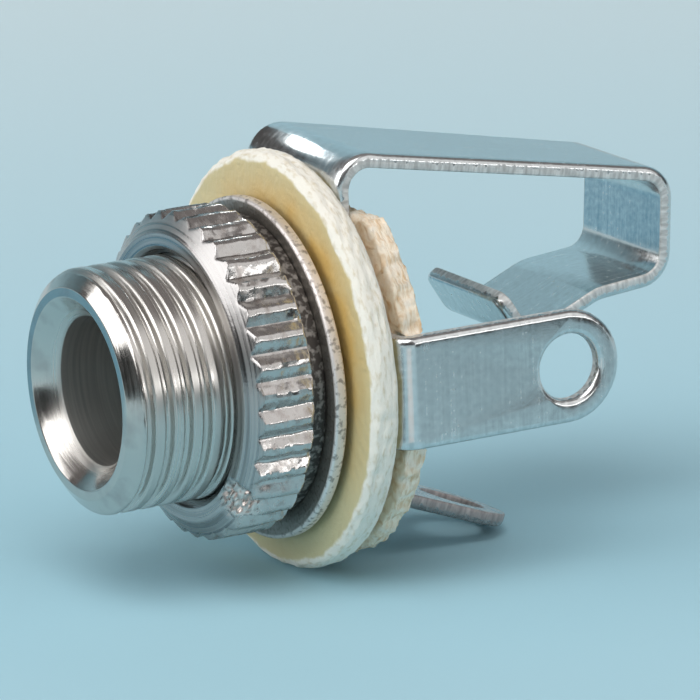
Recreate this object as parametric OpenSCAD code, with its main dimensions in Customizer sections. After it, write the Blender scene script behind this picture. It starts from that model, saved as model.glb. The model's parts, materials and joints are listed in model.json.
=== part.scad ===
// Panel mount mono jack for 3.5 mm plugs, open frame, in millimetres.
// The plug goes in along +Y. The tip spring arches over the top (+Z) and its solder tag is on the
// +X side. The origin is on the bush's axis, in the plane where the front insulator meets the panel.

/* [Bush] */
// Bore for the plug
plug_bore_d = 3.6; // [3.4:0.05:3.9]
// Outside diameter of the thread
thread_d = 5.9; // [5.7:0.05:6.5]
// Length of the bush in front of the panel seat
bush_len = 5.2; // [4.2:0.1:9]
// Depth of the 45 degree countersink at the plug's entry
entry_depth = 0.52; // [0.2:0.02:0.6]
// Radial size of the lead-in bevel on the thread
lead_in_r = 0.45; // [0.2:0.05:0.5]
// Length of the lead-in bevel along the axis
lead_in_len = 0.28; // [0.15:0.01:0.6]
// Distance from one thread groove to the next
thread_pitch = 0.5; // [0.35:0.05:0.75]
// Depth of a thread groove
thread_depth = 0.2; // [0.1:0.01:0.28]
// Width of the flat on a thread crest
thread_crest = 0.14; // [0.05:0.01:0.2]
// Width of the flat at the bottom of a thread groove
thread_root = 0.1; // [0.05:0.01:0.14]
// Outside diameter of the spigot that carries the stack
spigot_d = 4.8; // [4.6:0.05:5.1]
// Overhang of the swaged lip that closes the stack, beyond the spigot
lip_overhang = 0.35; // [0.3:0.01:0.45]
// Length of the swaged lip along the axis
lip_len = 0.4; // [0.3:0.02:0.6]
// Radius of the swaged lip's rolled edge
lip_round = 0.24; // [0.1:0.01:0.28]
// Depth of the funnel that swaging leaves in the bore's rear end
funnel_depth = 0.3; // [0.1:0.02:0.35]

/* [Nut and washer] */
// Radial wall of the nut, from its bore to the knurl's crests
nut_wall = 1; // [0.8:0.05:2]
// Thickness of the nut
nut_t = 2.1; // [1.6:0.05:3]
// Number of teeth in the straight knurl
knurl_teeth = 36; // [28:1:60]
// Depth of a knurl groove
knurl_depth = 0.22; // [0.15:0.01:0.35]
// Width of the flat on a knurl crest
knurl_crest = 0.14; // [0.05:0.01:0.2]
// Angle from the +X side up to a knurl crest
knurl_turn = 4; // [0:0.5:10]
// Length of the plain collar behind the knurl
collar_len = 0.4; // [0.2:0.05:0.7]
// How far the collar lies below the knurl's grooves
collar_step = 0.06; // [0.02:0.01:0.12]
// Radial size of the bevel on the nut's front edge
nut_bevel_r = 0.5; // [0.2:0.02:0.6]
// Angle of that bevel from the front face
nut_bevel_angle = 32; // [15:1:50]
// Size of the countersinks in the nut's bore
nut_countersink = 0.18; // [0.05:0.01:0.25]
// Radial width of the flat washer round its hole
washer_rim = 1.06; // [0.6:0.02:1.5]
// Thickness of the flat washer
washer_t = 0.3; // [0.2:0.05:0.8]
// Gap that the loosened nut leaves between the washer and the front insulator
washer_slack = 0.2; // [0.05:0.05:1]

/* [Insulators] */
// Diameter of the front insulator
front_disc_d = 10.2; // [9.8:0.05:11.2]
// Thickness of the front insulator
front_disc_t = 0.75; // [0.5:0.05:1.2]
// Diameter of the rear insulator
rear_disc_d = 9.85; // [9.5:0.05:10.5]
// Thickness of the rear insulator
rear_disc_t = 0.55; // [0.4:0.05:1]
// Height of the flat on top of the rear insulator above the axis
rear_flat_z = 3.9; // [3.6:0.05:4.4]
// Wall of the ring that centres the tip contact on the spigot
centring_wall = 0.65; // [0.4:0.05:0.9]

/* [Sheet metal] */
// Thickness of the contact sheet
sheet_t = 0.35; // [0.25:0.01:0.45]
// Inside radius of the tags' bends
bend_r = 0.25; // [0.15:0.01:0.35]
// Radial width of the tip contact's plate round its hole
plate_rim = 1.1; // [0.8:0.05:1.3]
// Radial width of the sleeve tag's ring round the spigot
sleeve_rim = 0.65; // [0.55:0.05:0.75]

/* [Tip spring] */
// Width of the spring where it leaves the plate
spring_root_w = 4.5; // [3.8:0.1:5.2]
// Width of the spring from its rear bend to its lip
spring_end_w = 3.6; // [2.4:0.1:3.7]
// Height of the first bend above the front insulator's rim
spring_over = 0.16; // [0.05:0.01:0.6]
// Length of the straight top stretch
spring_top_len = 8.05; // [7.2:0.05:9]
// Length of the straight rear stretch
spring_rear_len = 1.3; // [1.05:0.05:1.55]
// Length of the straight heel in front of the rear stretch
spring_heel_len = 1.15; // [0.8:0.05:1.55]
// Length of the straight stretch from the heel down to the nose
spring_contact_len = 1.55; // [1.2:0.05:1.9]
// Length of the straight lip in front of the nose
spring_lip_len = 0.95; // [0.4:0.05:1.4]
// Angle by which the top stretch droops to the rear
spring_droop = 11; // [4:0.5:14]
// Angle by which the rear stretch leans forward going down
spring_lean = 3; // [0:0.5:8]
// Angle by which the heel dips going forward
heel_dip = 5; // [0:1:10]
// Angle by which the contact stretch dips to the nose
contact_dip = 23; // [15:1:30]
// Angle at which the lip rises in front of the nose
lip_rise = 58; // [40:1:70]
// Inside radius of the bends at the spring's front, rear and heel
spring_bend_r = 0.52; // [0.3:0.02:0.64]
// Inside radius of the bend between the heel and the contact stretch
heel_bend_r = 0.9; // [0.4:0.05:1.4]
// Inside radius of the nose that bears on the plug's tip
nose_r = 0.35; // [0.2:0.05:0.6]

/* [Solder tags] */
// Width of a solder tag
tag_w = 2.75; // [2.2:0.05:3]
// Diameter of the eye in a solder tag
eye_d = 1.6; // [1:0.05:1.8]
// Distance from the front insulator's rim in to the outer face of the tip's tag
tip_tag_inset = 0.2; // [0.05:0.01:0.3]
// Length of the tip's tag behind its bend
tip_tag_len = 5.5; // [4:0.1:8]
// Distance from the swaged lip's edge to the start of the sleeve tag's bend
sleeve_tag_gap = 0.2; // [0.1:0.01:0.3]
// Length of the sleeve tag behind its bend
sleeve_tag_len = 4.35; // [3.5:0.05:6]
// Angle that the sleeve tag is bent back from its ring
sleeve_turn = 69; // [50:1:90]

/* [Fits] */
// Radial play of the nut's bore on the thread's crests
nut_play = 0.03; // [0.02:0.01:0.08]
// Radial play of the washer on the thread's crests
washer_play = 0.14; // [0.06:0.01:0.25]
// Gap between the thread's crests and the top of the hanging washer's hole
washer_hang_gap = 0.04; // [0.03:0.01:0.06]
// Radial play of the stack's pieces on the spigot and on each other
stack_play = 0.03; // [0.01:0.01:0.06]
// Gap between the tip's tag and its slot in the rear insulator
slot_gap = 0.1; // [0.05:0.01:0.2]

/* [Hidden] */
$fn = 96;

// Flat steps in the side view of one bend
bend_steps = 10;

// Radii about the bush's axis
bore_r = plug_bore_d / 2;
thread_r = thread_d / 2;
spigot_r = spigot_d / 2;
stack_hole_r = spigot_r + stack_play;
centring_r = stack_hole_r + centring_wall;
plate_hole_r = centring_r + stack_play;
plate_r = plate_hole_r + plate_rim;
sleeve_ring_r = stack_hole_r + sleeve_rim;
front_disc_r = front_disc_d / 2;

// Places of the stack along the axis, from the panel seat to the rear
tip_sheet_y = front_disc_t;
rear_disc_y = tip_sheet_y + sheet_t;
sleeve_sheet_y = rear_disc_y + rear_disc_t;
stack_end_y = sleeve_sheet_y + sheet_t;
bush_end_y = stack_end_y + lip_len;

// Start and width of the thread's grooves, from the lead-in bevel to the rear, and their number
thread_start_y = -bush_len + lead_in_len + thread_crest;
thread_groove_w = thread_pitch - thread_crest;
thread_grooves = floor(-thread_start_y / thread_pitch);

// Places of the nut and washer, in front of the panel seat
nut_rear_y = -washer_slack - washer_t;
nut_front_y = nut_rear_y - nut_t;
knurl_rear_y = nut_rear_y - collar_len;

// Radii of the washer and the nut, and how low the washer hangs
washer_hole_r = thread_r + washer_play;
washer_r = washer_hole_r + washer_rim;
washer_drop = washer_play - washer_hang_gap;
nut_bore_r = thread_r + nut_play;
crest_r = nut_bore_r + nut_wall;
groove_r = crest_r - knurl_depth;
collar_r = groove_r - collar_step;

// Distances from the axis where the sheet leaves its plates and starts to bend
plate_root = plate_hole_r + plate_rim / 2;
sleeve_root = stack_hole_r + sleeve_rim / 4;
bend_outer_r = bend_r + sheet_t;
spring_bend_outer_r = spring_bend_r + sheet_t;
spring_reach = front_disc_r + spring_over - spring_bend_outer_r;
tip_tag_reach = front_disc_r - tip_tag_inset - bend_outer_r;
sleeve_tag_reach = spigot_r + lip_overhang + sleeve_tag_gap;

// The tip spring's side view as folds: straight length, then the angle and inside radius of the bend,
// with a positive angle for a turn to the right
spring_folds = [
    [spring_reach - plate_root, 90 + spring_droop, spring_bend_r],
    [spring_top_len, 90 - spring_droop + spring_lean, spring_bend_r],
    [spring_rear_len, 90 - spring_lean - heel_dip, spring_bend_r],
    [spring_heel_len, heel_dip - contact_dip, heel_bend_r],
    [spring_contact_len, contact_dip + lip_rise, nose_r],
    [spring_lip_len, 0, spring_bend_r]
];
spring_start = [tip_sheet_y + sheet_t / 2, plate_root, 90];

// A state is the place and heading of the sheet's middle line in its side view
function along(heading) = [cos(heading), sin(heading)];
function left_of(heading) = [-sin(heading), cos(heading)];
function place(state) = [state[0], state[1]];

// Side that a fold's bend turns to, its middle radius and its centre
function bend_side(fold) = fold[1] < 0 ? -1 : 1;
function bend_mid_r(fold) = fold[2] + sheet_t / 2;
function bend_centre(state, fold) =
    place(state) + fold[0] * along(state[2]) - bend_side(fold) * bend_mid_r(fold) * left_of(state[2]);

// State where fold i starts
function fold_state(folds, start, i) =
    i == 0 ? start :
    let (
        before = fold_state(folds, start, i - 1),
        fold = folds[i - 1],
        heading = before[2] - fold[1],
        finish = bend_centre(before, fold) + bend_side(fold) * bend_mid_r(fold) * left_of(heading)
    )
    [finish[0], finish[1], heading];

// Points of one face of the sheet through fold i, on the left (side 1) or on the right (side -1)
function fold_face(folds, start, i, side) =
    let (
        state = fold_state(folds, start, i),
        fold = folds[i],
        steps = fold[1] == 0 ? 0 : bend_steps,
        face_r = bend_side(fold) * bend_mid_r(fold) + side * sheet_t / 2
    )
    [
        for (k = [0 : steps])
            bend_centre(state, fold) + face_r * left_of(state[2] - fold[1] * k / bend_steps)
    ];

// Points of one whole face of the folded sheet
function sheet_face(folds, start, side) = concat(
    [place(start) + side * sheet_t / 2 * left_of(start[2])],
    [for (i = [0 : len(folds) - 1]) each fold_face(folds, start, i, side)]
);
function backwards(points) = [for (i = [len(points) - 1 : -1 : 0]) points[i]];

// Side view of a folded sheet
module sheet_side(folds, start) {
    polygon(concat(sheet_face(folds, start, 1), backwards(sheet_face(folds, start, -1))));
}

// Turns a shape drawn along Z so that it stands along Y
module along_axis() {
    rotate([-90, 0, 0]) children();
}

// A flat outline drawn in X and Z, from y to y + thickness
module flat_sheet(y, thickness) {
    translate([0, y + thickness, 0]) rotate([90, 0, 0]) linear_extrude(thickness) children();
}

// A ring about the axis, from y to y + thickness
module ring(outer_r, inner_r, y, thickness) {
    flat_sheet(y, thickness) difference() {
        circle(outer_r);
        circle(inner_r);
    }
}

// Section of one thread groove that starts at y
function thread_groove(y) = [
    [thread_r, y],
    [thread_r - thread_depth, y + (thread_groove_w - thread_root) / 2],
    [thread_r - thread_depth, y + (thread_groove_w + thread_root) / 2],
    [thread_r, y + thread_groove_w]
];

// Turned bush with its countersunk entry, thread, shoulder, spigot and swaged rear lip. Each turn of
// the thread is a ring of its own.
module bush() {
    entry = [
        [bore_r, -bush_len + entry_depth],
        [bore_r + entry_depth, -bush_len],
        [thread_r - lead_in_r, -bush_len],
        [thread_r, -bush_len + lead_in_len]
    ];
    grooves = [
        for (i = [0 : thread_grooves - 1]) each thread_groove(thread_start_y + i * thread_pitch)
    ];
    rear = [
        [thread_r, 0],
        [spigot_r, 0],
        [spigot_r, bush_end_y],
        [bore_r + funnel_depth, bush_end_y],
        [bore_r, bush_end_y - funnel_depth]
    ];
    color("silver") along_axis() rotate_extrude() {
        polygon(concat(entry, grooves, rear));
        translate([spigot_r, stack_end_y]) swaged_lip();
    }
}

// Half section of the lip that is rolled over the sleeve tag
module swaged_lip() {
    inset = lip_overhang - lip_round;
    translate([inset, lip_len - lip_round]) intersection() {
        circle(lip_round);
        square(lip_round);
    }
    square([lip_overhang, lip_len - lip_round]);
    translate([-lip_round, 0]) square([lip_round + inset, lip_len]);
}

// Front insulator, a plain punched disc
module front_insulator() {
    color("khaki") ring(front_disc_r, stack_hole_r, 0, front_disc_t);
}

// Ring that keeps the tip contact's plate clear of the spigot
module centring_ring() {
    color("wheat") ring(centring_r, stack_hole_r, tip_sheet_y, sheet_t);
}

// Rear insulator, with a flat below the spring and a slot for the tip's tag
module rear_insulator() {
    slot_w = tag_w + 2 * slot_gap;
    color("tan") flat_sheet(rear_disc_y, rear_disc_t) difference() {
        circle(d = rear_disc_d);
        circle(stack_hole_r);
        translate([-rear_disc_d / 2, rear_flat_z]) square(rear_disc_d);
        translate([tip_tag_reach - slot_gap, -slot_w / 2]) square([rear_disc_d, slot_w]);
    }
}

// Tip contact: one sheet with the plate, the folded spring and the solder tag
module tip_contact() {
    color("lightsteelblue") {
        ring(plate_r, plate_hole_r, tip_sheet_y, sheet_t);
        tip_spring();
        solder_tag(tip_sheet_y, plate_root, tip_tag_reach, 90, tip_tag_len);
    }
}

// Spring of the tip contact, tapered along its top stretch
module tip_spring() {
    top = fold_state(spring_folds, spring_start, 1);
    rear = fold_state(spring_folds, spring_start, 2);
    taper_start_y = top[0] + sheet_t;
    taper_end_y = top[0] + spring_top_len * cos(spring_droop) - sheet_t;
    past_y = rear[0] + spring_bend_outer_r;
    past_z = front_disc_r + spring_over + sheet_t;
    difference() {
        rotate([90, 0, 90]) linear_extrude(spring_root_w, center = true)
            sheet_side(spring_folds, spring_start);
        for (side = [0, 1]) mirror([side, 0, 0]) {
            translate([0, 0, -past_z]) linear_extrude(2 * past_z) polygon([
                [spring_root_w / 2, taper_start_y],
                [spring_root_w, taper_start_y],
                [spring_root_w, past_y],
                [spring_end_w / 2, past_y],
                [spring_end_w / 2, taper_end_y]
            ]);
            translate([spring_end_w / 2, taper_start_y, rear[1] - past_z])
                cube([spring_root_w, past_y - taper_start_y, past_z]);
        }
    }
}

// Solder tag on the +X side of a plate at y, with its root and bend
module solder_tag(y, root, reach, turn, length) {
    folds = [[reach - root, turn, bend_r], [length, 0, bend_r]];
    start = [root, -y - sheet_t / 2, 0];
    blade = fold_state(folds, start, 1);
    end_x = length - tag_w / 2;
    mirror([0, 1, 0]) difference() {
        linear_extrude(tag_w, center = true) sheet_side(folds, start);
        translate([blade[0], blade[1], 0]) rotate(blade[2]) translate([end_x, 0, 0]) rotate([90, 0, 0])
            linear_extrude(3 * sheet_t, center = true) tag_end_cut();
    }
}

// What is punched out of a tag's end: the corners beside its round end, and the eye in its centre
module tag_end_cut() {
    difference() {
        translate([0, -tag_w]) square([tag_w, 2 * tag_w]);
        circle(d = tag_w);
    }
    circle(d = eye_d);
}

// Sleeve tag: one sheet with the ring under the lip and a flared solder tag below
module sleeve_tag() {
    color("rosybrown") {
        flat_sheet(sleeve_sheet_y, sheet_t) difference() {
            circle(sleeve_ring_r);
            circle(stack_hole_r);
            translate([-sleeve_ring_r, -sleeve_tag_reach - sleeve_ring_r])
                square([2 * sleeve_ring_r, sleeve_ring_r]);
        }
        rotate([0, 90, 0])
            solder_tag(sleeve_sheet_y, sleeve_root, sleeve_tag_reach, sleeve_turn, sleeve_tag_len);
    }
}

// Plain punched washer behind the nut, hanging on the thread
module flat_washer() {
    color("gainsboro") translate([0, 0, -washer_drop])
        ring(washer_r, washer_hole_r, nut_rear_y, washer_t);
}

// Knurled nut with a bevelled front edge and a plain collar behind
module knurled_nut() {
    color("lightgray") difference() {
        intersection() {
            along_axis() rotate_extrude() nut_section();
            flat_sheet(nut_front_y, nut_t) knurl_outline();
        }
        along_axis() rotate_extrude() nut_bore_section();
    }
}

// Half section of the nut's blank, left larger than the knurl's crests
module nut_section() {
    stock_r = crest_r + knurl_depth;
    bevel_len = (stock_r - crest_r + nut_bevel_r) * tan(nut_bevel_angle);
    polygon([
        [0, nut_front_y],
        [crest_r - nut_bevel_r, nut_front_y],
        [stock_r, nut_front_y + bevel_len],
        [stock_r, knurl_rear_y],
        [collar_r, knurl_rear_y],
        [collar_r, nut_rear_y],
        [0, nut_rear_y]
    ]);
}

// Outline of the straight knurl, with a flat on each crest
module knurl_outline() {
    step = 360 / knurl_teeth;
    half_crest = asin(knurl_crest / 2 / crest_r);
    polygon([
        for (i = [0 : knurl_teeth - 1])
            let (crest = knurl_turn + i * step)
            each [
                crest_r * along(crest - half_crest),
                crest_r * along(crest + half_crest),
                groove_r * along(crest + step / 2)
            ]
    ]);
}

// Half section of the nut's bore, with a countersink at each end
module nut_bore_section() {
    polygon([
        [0, nut_front_y],
        [nut_bore_r + nut_countersink, nut_front_y],
        [nut_bore_r, nut_front_y + nut_countersink],
        [nut_bore_r, nut_rear_y - nut_countersink],
        [nut_bore_r + nut_countersink, nut_rear_y],
        [0, nut_rear_y]
    ]);
}

bush();
front_insulator();
tip_contact();
centring_ring();
rear_insulator();
sleeve_tag();
flat_washer();
knurled_nut();
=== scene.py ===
"""Looks of an open panel jack for a small audio plug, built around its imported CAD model.

Meshes are worked in millimetres, because Blender's fill tools are too coarse for such a small object in
metres, and are scaled to metres when a piece is finished."""

import json
import math
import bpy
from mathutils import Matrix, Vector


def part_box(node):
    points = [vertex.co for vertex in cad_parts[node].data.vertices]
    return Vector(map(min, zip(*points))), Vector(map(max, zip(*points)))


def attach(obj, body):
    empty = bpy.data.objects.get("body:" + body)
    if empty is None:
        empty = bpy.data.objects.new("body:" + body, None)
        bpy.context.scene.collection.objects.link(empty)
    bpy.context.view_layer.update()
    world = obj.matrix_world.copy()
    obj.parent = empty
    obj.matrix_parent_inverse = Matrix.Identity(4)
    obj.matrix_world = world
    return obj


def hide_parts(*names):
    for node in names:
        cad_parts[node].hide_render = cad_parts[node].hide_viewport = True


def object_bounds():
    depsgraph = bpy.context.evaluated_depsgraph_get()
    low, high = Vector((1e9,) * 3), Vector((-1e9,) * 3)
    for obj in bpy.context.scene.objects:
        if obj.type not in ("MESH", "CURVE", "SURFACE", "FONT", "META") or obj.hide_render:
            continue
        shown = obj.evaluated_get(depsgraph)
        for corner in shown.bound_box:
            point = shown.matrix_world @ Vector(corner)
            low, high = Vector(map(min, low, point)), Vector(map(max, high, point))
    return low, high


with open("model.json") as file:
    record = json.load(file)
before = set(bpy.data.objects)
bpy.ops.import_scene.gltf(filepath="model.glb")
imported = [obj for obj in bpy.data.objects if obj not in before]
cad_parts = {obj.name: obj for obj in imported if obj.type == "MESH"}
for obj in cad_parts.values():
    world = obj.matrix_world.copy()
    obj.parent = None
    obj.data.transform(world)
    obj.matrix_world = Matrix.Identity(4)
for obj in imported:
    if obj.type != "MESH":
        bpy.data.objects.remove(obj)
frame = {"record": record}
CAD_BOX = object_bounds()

import types

import bmesh
import bpy
from mathutils import Matrix, Vector, noise

bl_info = {
    "name": "Panel audio jack",
    "version": (1, 0, 0),
    "blender": (4, 5, 0),
    "location": "3D View > Sidebar > Jack",
    "description": "Builds the visible pieces of an open panel jack around its CAD model",
    "category": "Object",
}

MM = 0.001
TURN = 2 * math.pi
MOUNT_RADII = {mount["name"]: mount["dims"]["r_mm"] for mount in frame["record"]["mounts"]}


def linear(hex_colour):
    """Turns an sRGB hex colour into Blender's linear red, green and blue."""
    values = [int(hex_colour[i : i + 2], 16) / 255 for i in (1, 3, 5)]
    return [v / 12.92 if v <= 0.04045 else ((v + 0.055) / 1.055) ** 2.4 for v in values]


def length(name, description, mm):
    """A length that a user may change, given in millimetres."""
    return bpy.props.FloatProperty(
        name=name, description=description, default=mm * MM, min=0, precision=5, unit="LENGTH"
    )


def angle(name, description, degrees):
    """An angle that a user may change, given in degrees."""
    return bpy.props.FloatProperty(
        name=name, description=description, default=math.radians(degrees), unit="ROTATION"
    )


def colour(name, description, hex_colour):
    """A colour that a user may change, given as sRGB hex."""
    return bpy.props.FloatVectorProperty(
        name=name, description=description, default=linear(hex_colour), min=0, max=1, subtype="COLOR"
    )


class BushSettings(bpy.types.PropertyGroup):
    """Sizes and colour of the threaded bush."""

    entry_depth: length("Entry depth", "Depth of the 45 degree countersink at the plug's entry", 0.52)
    lead_in_r: length("Lead-in radius", "Radial size of the bevel at the thread's start", 0.4)
    lead_in_len: length("Lead-in length", "Length of that bevel along the axis", 0.28)
    rim_round: length("Rim round", "Rounding of the edges that polishing leaves at the entry", 0.07)
    lead_round: length("Lead-in round", "Rounding between that bevel and the thread", 0.17)
    pitch: length("Thread pitch", "Distance from one thread crest to the next", 0.5)
    thread_depth: length("Thread depth", "Depth of the thread's groove", 0.16)
    spigot_r: length("Spigot radius", "Radius of the spigot that carries the stack", 2.4)
    lip_r: length("Lip radius", "Radius of the swaged lip behind the stack", 2.75)
    lip_len: length("Lip length", "Length of the swaged lip along the axis", 0.4)
    lip_round: length("Lip round", "Rounding of the swaged lip's edge", 0.24)
    funnel_depth: length("Funnel depth", "Depth of the funnel in the bore's rear end", 0.3)
    nickel: colour("Nickel", "Colour of the polished nickel plate", "#c9c6c1")


class NutSettings(bpy.types.PropertyGroup):
    """Sizes and colours of the knurled nut and the flat washer."""

    bore_r: length("Bore radius", "Radius of the nut's bore", 2.98)
    crest_r: length("Crest radius", "Radius of the nut over the knurl's crests", 3.98)
    teeth: bpy.props.IntProperty(name="Teeth", description="Teeth in the knurl", default=36, min=12)
    knurl_depth: length("Knurl depth", "Depth of a knurl groove", 0.22)
    crest_flat: length("Crest flat", "Width of the flat on a knurl crest", 0.14)
    knurl_turn: angle("Knurl turn", "Angle from the +X side up to a knurl crest", 4)
    tooth_wear: length("Tooth wear", "How far the teeth are worn down in places", 0.05)
    tooth_round: length("Tooth end round", "Rounding of the rear ends of the teeth", 0.2)
    collar_len: length("Collar length", "Length of the plain collar behind the knurl", 0.4)
    collar_r: length("Collar radius", "Radius of that collar", 3.7)
    bevel_r: length("Bevel size", "Radial size of the bevel on the nut's front edge", 0.5)
    bevel_angle: angle("Bevel angle", "Angle of that bevel from the front face", 32)
    countersink: length("Countersink", "Size of the countersinks in the nut's bore", 0.18)
    scar_size: length("Scar size", "Radius of the bruised place on the nut's front bevel", 0.7)
    scar_turn: angle("Scar turn", "Angle from the +X side up to the bruised place", -43)
    washer_hole_r: length("Washer hole radius", "Radius of the washer's hole", 3.09)
    plate: colour("Nut plate", "Colour of the nut's nickel plate", "#c4c1be")
    dull: colour("Washer plate", "Colour of the washer's dull face", "#9c9791")
    rim: colour("Washer rim", "Colour of the washer's bright sheared rim", "#ece5e1")


class DiscSettings(bpy.types.PropertyGroup):
    """Sizes and colours of the insulators."""

    hole_r: length("Hole radius", "Radius of the holes on the spigot", 2.43)
    flat_z: length("Flat height", "Height of the rear insulator's flat above the axis", 3.9)
    slot_x: length("Slot start", "Distance from the axis to the bottom of the tag's slot", 4.2)
    slot_half: length("Slot half width", "Half the width of the tag's slot", 1.4)
    rim_round: length("Rim round", "Rounding that wear leaves on the front insulator's rim", 0.27)
    fray: length("Fray", "How far the torn edge of the rear insulator is eaten in", 0.22)
    face: colour("Front face", "Colour of the front insulator's pressed face", "#cdc298")
    # Partly a real tinge, partly painted shade of the gap behind the washer
    stain_and_shade: colour("Stain", "Colour of the stain beside the washer", "#cda965")
    edge: colour("Cut edge", "Colour of the front insulator's fibrous edge", "#ebe7dc")
    tan: colour("Rear laminate", "Colour of the rear insulator", "#f6e9d5")
    brown: colour("Brown fibres", "Colour of the rear insulator's fibres", "#d3ad7c")


class SheetSettings(bpy.types.PropertyGroup):
    """Sizes and colours of the tip contact and the sleeve tag."""

    bend_r: length("Bend radius", "Inside radius of the tags' bends", 0.25)
    spring_bend_r: length("Spring bend radius", "Inside radius of the spring's large bends", 0.52)
    edge_round: length("Edge round", "Rounding where the punch draws the sheet's edges down", 0.16)
    burr_round: length("Burr round", "Rounding of the edges on the punch's far side", 0.05)
    plate_hole_r: length("Plate hole radius", "Radius of the hole in the tip contact's plate", 3.11)
    plate_r: length("Plate radius", "Outside radius of the tip contact's plate", 4.21)
    spring_reach: length("Spring reach", "Distance from the axis to the spring's first bend", 4.39)
    root_w: length("Root width", "Width of the spring where it leaves the plate", 4.5)
    end_w: length("End width", "Width of the spring from its rear bend to its lip", 3.6)
    taper_inset: length("Taper inset", "Straight length left at both ends of the taper", 0.357)
    top_len: length("Top length", "Length of the straight top stretch", 8.05)
    rear_len: length("Rear length", "Length of the straight rear stretch", 1.3)
    heel_len: length("Heel length", "Length of the straight heel", 1.15)
    contact_len: length("Contact length", "Length of the stretch from the heel to the nose", 1.55)
    lip_len: length("Lip length", "Length of the lip in front of the nose", 0.95)
    lip_corner: length("Lip corner", "Rounding of the lip's corners", 0.35)
    heel_bend_r: length("Heel bend", "Inside radius of the bend in front of the heel", 0.9)
    nose_r: length("Nose radius", "Inside radius of the nose", 0.35)
    droop: angle("Droop", "Angle by which the top stretch droops to the rear", 11)
    lean: angle("Lean", "Angle by which the rear stretch leans forward going down", 3)
    heel_dip: angle("Heel dip", "Angle by which the heel dips going forward", 5)
    contact_dip: angle("Contact dip", "Angle by which the contact stretch dips", 23)
    lip_rise: angle("Lip rise", "Angle at which the lip rises in front of the nose", 58)
    tag_w: length("Tag width", "Width of a solder tag", 2.75)
    tip_reach: length("Tip tag reach", "Distance from the axis to the tip tag's bend", 4.3)
    tip_len: length("Tip tag length", "Length of the tip's tag behind its bend", 5.5)
    ring_hole_r: length("Ring hole radius", "Radius of the hole in the sleeve tag's ring", 2.43)
    ring_r: length("Ring radius", "Outside radius of the sleeve tag's ring", 3.08)
    sleeve_reach: length("Sleeve tag reach", "Distance from the axis to the sleeve tag's bend", 2.95)
    sleeve_len: length("Sleeve tag length", "Length of the sleeve tag behind its bend", 4.35)
    sleeve_turn: angle("Sleeve turn", "Angle that the sleeve tag is bent back", 69)
    tin: colour("Tin plate", "Colour of the tip contact's tin plate", "#e4e7e7")
    pink_tin: colour("Sleeve tag plate", "Colour of the sleeve tag's plate", "#c4bab8")
    cut: colour("Cut edge", "Colour of the bright sheared edges", "#e6e6e4")


class StageSettings(bpy.types.PropertyGroup):
    """Camera, floor and light."""

    view_azimuth: angle("Azimuth", "Direction that the camera stands in, from the front towards +X", 60.77)
    view_elevation: angle("Elevation", "Height of the camera above the horizon", 14.57)
    view_roll: angle("Roll", "How far the camera leans to its right", 1.92)
    view_distance: length("Distance", "Distance from the camera to the point that it looks at", 160.9)
    view_field: angle("Field of view", "Angle that the picture's width covers", 6)
    floor: colour("Floor", "Colour of the floor round the jack", "#a6cedb")
    around: colour("Floor further out", "Colour of the floor behind it", "#dde8ea")
    backdrop: colour("Backdrop", "Colour of the raised backdrop, which the metal mirrors", "#cef0fb")


class JackSettings(bpy.types.PropertyGroup):
    """All settings of the jack."""

    bush: bpy.props.PointerProperty(type=BushSettings, name="Bush")
    nut: bpy.props.PointerProperty(type=NutSettings, name="Nut and washer")
    disc: bpy.props.PointerProperty(type=DiscSettings, name="Insulators")
    sheet: bpy.props.PointerProperty(type=SheetSettings, name="Contacts")
    stage: bpy.props.PointerProperty(type=StageSettings, name="Stage")


def in_mm(group):
    """The values of a settings group, with its lengths in millimetres."""
    values = {}
    for prop in group.bl_rna.properties:
        if prop.identifier not in ("rna_type", "name"):
            value = getattr(group, prop.identifier)
            values[prop.identifier] = value / MM if prop.unit == "LENGTH" else value
    return types.SimpleNamespace(**values)


def box_mm(node):
    """Lowest and highest corner of a CAD node in millimetres."""
    low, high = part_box(node)
    return low / MM, high / MM


def feed(tree, node, inputs):
    """Sets inputs of a node. Each takes a value, another node's first output, or a socket."""
    for key, value in inputs.items():
        if isinstance(value, bpy.types.Node):
            value = value.outputs[0]
        if isinstance(value, bpy.types.NodeSocket):
            tree.links.new(value, node.inputs[key])
        else:
            node.inputs[key].default_value = value


def add(tree, kind, inputs=(), **settings):
    """Adds a node with its settings and inputs."""
    node = tree.nodes.new(kind)
    for key, value in settings.items():
        setattr(node, key, value)
    feed(tree, node, dict(inputs))
    return node


def calc(tree, operation, first, second=0.0, **settings):
    """Works out a number from one or two others."""
    return add(tree, "ShaderNodeMath", {0: first, 1: second}, operation=operation, **settings)


def ramp(tree, value, low, high, first=0.0, last=1.0, **settings):
    """Goes from first to last while a value goes from low to high."""
    return add(tree, "ShaderNodeMapRange", {0: value, 1: low, 2: high, 3: first, 4: last}, **settings)


def blend(tree, amount, first, second):
    """Mixes two colours, which may be sockets or linear red, green and blue."""
    mix = {0: amount}
    for key, shade in ((6, first), (7, second)):
        mix[key] = shade if isinstance(shade, bpy.types.NodeSocket) else (*shade, 1)
    return add(tree, "ShaderNodeMix", mix, data_type="RGBA").outputs[2]


def cloud(tree, place, scale, detail):
    """Cloudy noise, whose grains are about half as wide as one over its scale."""
    return add(tree, "ShaderNodeTexNoise", {"Vector": place, "Scale": scale, "Detail": detail})


def drawn_out(tree, place, scales, detail):
    """Cloudy noise with a scale of its own along each axis."""
    stretched = add(tree, "ShaderNodeMapping", {"Vector": place, "Scale": scales})
    return cloud(tree, stretched, 1.0, detail)


def relief(tree, height, strength, depth_mm):
    """Relief that is too fine to model."""
    return add(tree, "ShaderNodeBump", {"Height": height, "Strength": strength, "Distance": depth_mm * MM})


def new_material(name):
    """A new material with its node tree and its shader."""
    material = bpy.data.materials.new(name)
    material.use_nodes = True
    return material, material.node_tree, material.node_tree.nodes["Principled BSDF"]


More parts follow.
